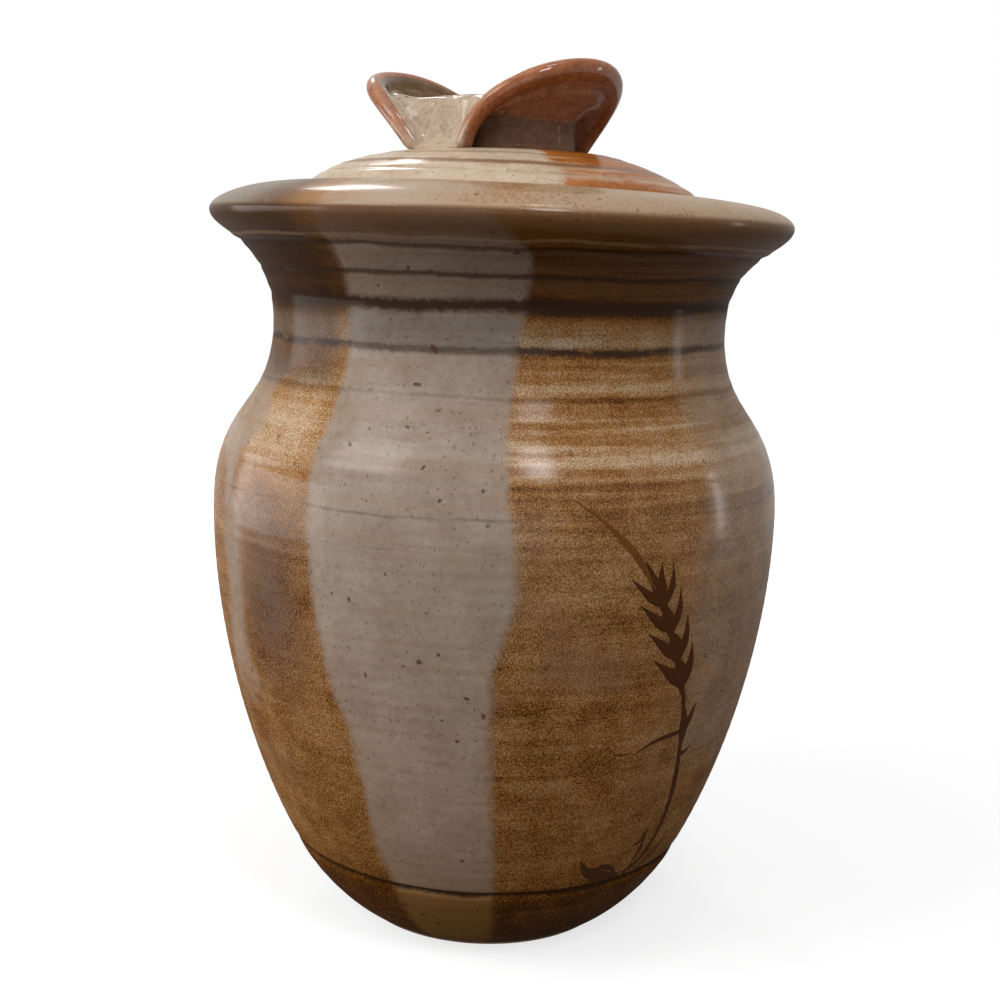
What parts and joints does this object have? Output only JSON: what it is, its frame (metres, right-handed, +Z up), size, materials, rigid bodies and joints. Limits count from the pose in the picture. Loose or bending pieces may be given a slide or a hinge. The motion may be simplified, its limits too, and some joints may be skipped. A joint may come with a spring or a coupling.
{
  "type": "kitchen canister",
  "caption": "Round-bellied stoneware storage jar with a flared rolled lip and a domed lift-off lid, topped by a folded cup-shaped knob with two wings.",
  "frame": {"origin": "centre of the jar's foot, on the surface that it stands on", "axes": "+Z up along the jar's axis, out of its mouth; -Y towards the side shown in the picture; +X to the right as seen from that side"},
  "size_m": [0.1528, 0.1528, 0.2279],
  "materials": {
    "jar_glaze": "satin-gloss glaze in wandering bands of grey, tan and rust with iron specks",
    "lid_glaze": "satin-gloss beige-grey glaze that breaks to orange-brown",
    "knob_glaze": "glossy red-brown glaze with a beige fold"
  },
  "bodies": {
    "jar": {"jar": "jar_glaze"},
    "lid": {"lid": "lid_glaze", "knob": "knob_glaze"}
  },
  "joints": [
    {"name": "lid_lift", "type": "slide", "parent": "jar", "child": "lid", "axis": [0, 0, 1], "range_m": [0, 0.1]}
  ]
}
